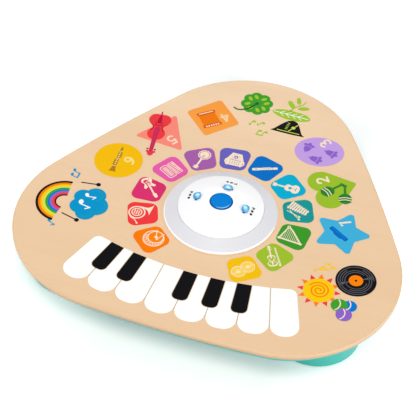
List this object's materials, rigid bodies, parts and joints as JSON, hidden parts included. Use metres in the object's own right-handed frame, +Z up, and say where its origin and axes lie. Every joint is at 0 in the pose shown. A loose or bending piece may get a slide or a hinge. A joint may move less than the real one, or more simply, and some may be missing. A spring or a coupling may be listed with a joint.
{
  "type": "musical activity table",
  "caption": "Low wooden-topped musical play table with printed touch keyboard, picture tiles and shape zones, a central dome with a push button and slide knobs, on round plastic feet.",
  "frame": {"origin": "middle of the table on the floor, under the feet", "axes": "+Z up, +X to the right of a child who sits at the keyboard, +Y away from that child"},
  "size_m": [0.481, 0.447, 0.0765],
  "materials": {
    "wood": "satin lacquered plywood",
    "teal_plastic": "fine moulded texture",
    "white_plastic": "smooth gloss",
    "frosted_plastic": "frosted, lets light through",
    "blue_plastic": "smooth gloss",
    "light_blue_plastic": "smooth gloss",
    "black_plastic": "moulded",
    "cream_plastic": "moulded",
    "rubber": "matt",
    "steel": "plain",
    "green_board": "solder mask",
    "copper_board": "copper film on board",
    "battery_wrap": "printed sleeve",
    "wire_cover": "soft sleeve",
    "speaker_paper": "pressed paper",
    "ink_white": "printed ink",
    "ink_black": "printed ink",
    "ink_cream": "printed ink",
    "ink_deep": "printed ink",
    "ink_bright": "printed ink",
    "ink_tile_drum": "printed ink",
    "ink_tile_horn": "printed ink",
    "ink_tile_electric_guitar": "printed ink",
    "ink_tile_accordion": "printed ink",
    "ink_tile_banjo": "printed ink",
    "ink_tile_organ": "printed ink",
    "ink_tile_flute": "printed ink",
    "ink_tile_guitar": "printed ink",
    "ink_tile_xylophone": "printed ink",
    "ink_tile_harp": "printed ink",
    "ink_tile_violin": "printed ink",
    "ink_tile_cymbals": "printed ink",
    "ink_zone_square": "printed ink",
    "ink_zone_triangle": "printed ink",
    "ink_zone_circle": "printed ink",
    "ink_zone_oval": "printed ink",
    "ink_zone_heart": "printed ink",
    "ink_zone_star": "printed ink"
  },
  "bodies": {
    "table": {"top_panel": "wood", "base_shell": "teal_plastic", "foot_left": "teal_plastic", "foot_right": "teal_plastic", "foot_back": "teal_plastic", "battery_door": "teal_plastic", "foot_pads": "rubber", "case_screws": "steel", "battery_contacts": "steel", "speaker_magnet": "steel", "speaker_clamps": "steel", "tub_screws": "steel", "cover_screws": "steel", "board_screws": "steel", "button_spring": "steel", "slide_switches": "steel", "battery_cells": "battery_wrap", "speaker_frame": "black_plastic", "speaker_cone": "speaker_paper", "control_tub": "white_plastic", "dome_cover": "white_plastic", "light_ring": "frosted_plastic", "control_board": "green_board", "led_board": "green_board", "sound_board": "green_board", "leds": "cream_plastic", "wire_sockets": "cream_plastic", "touch_ribbons": "cream_plastic", "tact_switch": "black_plastic", "sound_chips": "black_plastic", "wires": "wire_cover", "picture_touch_boards": "copper_board", "key_touch_board": "copper_board", "white_key_prints": "ink_white", "black_key_prints": "ink_black", "tile_drum": "ink_tile_drum", "tile_horn": "ink_tile_horn", "tile_electric_guitar": "ink_tile_electric_guitar", "tile_accordion": "ink_tile_accordion", "tile_banjo": "ink_tile_banjo", "tile_organ": "ink_tile_organ", "tile_flute": "ink_tile_flute", "tile_guitar": "ink_tile_guitar", "tile_xylophone": "ink_tile_xylophone", "tile_harp": "ink_tile_harp", "tile_violin": "ink_tile_violin", "tile_cymbals": "ink_tile_cymbals", "zone_square": "ink_zone_square", "zone_triangle": "ink_zone_triangle", "zone_circle": "ink_zone_circle", "zone_oval": "ink_zone_oval", "zone_heart": "ink_zone_heart", "zone_star": "ink_zone_star"},
    "push_button": {"push_button": "blue_plastic"},
    "left_slider": {"left_slide_knob": "light_blue_plastic", "left_switch_lever": "black_plastic"},
    "back_slider": {"back_slide_knob": "light_blue_plastic", "back_switch_lever": "black_plastic"},
    "right_slider": {"right_slide_knob": "light_blue_plastic", "right_switch_lever": "black_plastic"}
  },
  "joints": [
    {"name": "button_press", "type": "slide", "parent": "table", "child": "push_button", "axis": [0, 0, -1], "range_m": [0, 0.0015], "stiffness_N_per_m": 800, "springref_m": -0.001, "deforming": ["button_spring"]},
    {"name": "left_slide", "type": "slide", "parent": "table", "child": "left_slider", "axis": [0, 1, 0], "range_m": [-0.0045, 0.0045]},
    {"name": "back_slide", "type": "slide", "parent": "table", "child": "back_slider", "axis": [1, 0, 0], "range_m": [-0.0045, 0.0045]},
    {"name": "right_slide", "type": "slide", "parent": "table", "child": "right_slider", "axis": [0, 1, 0], "range_m": [-0.0045, 0.0045]}
  ]
}
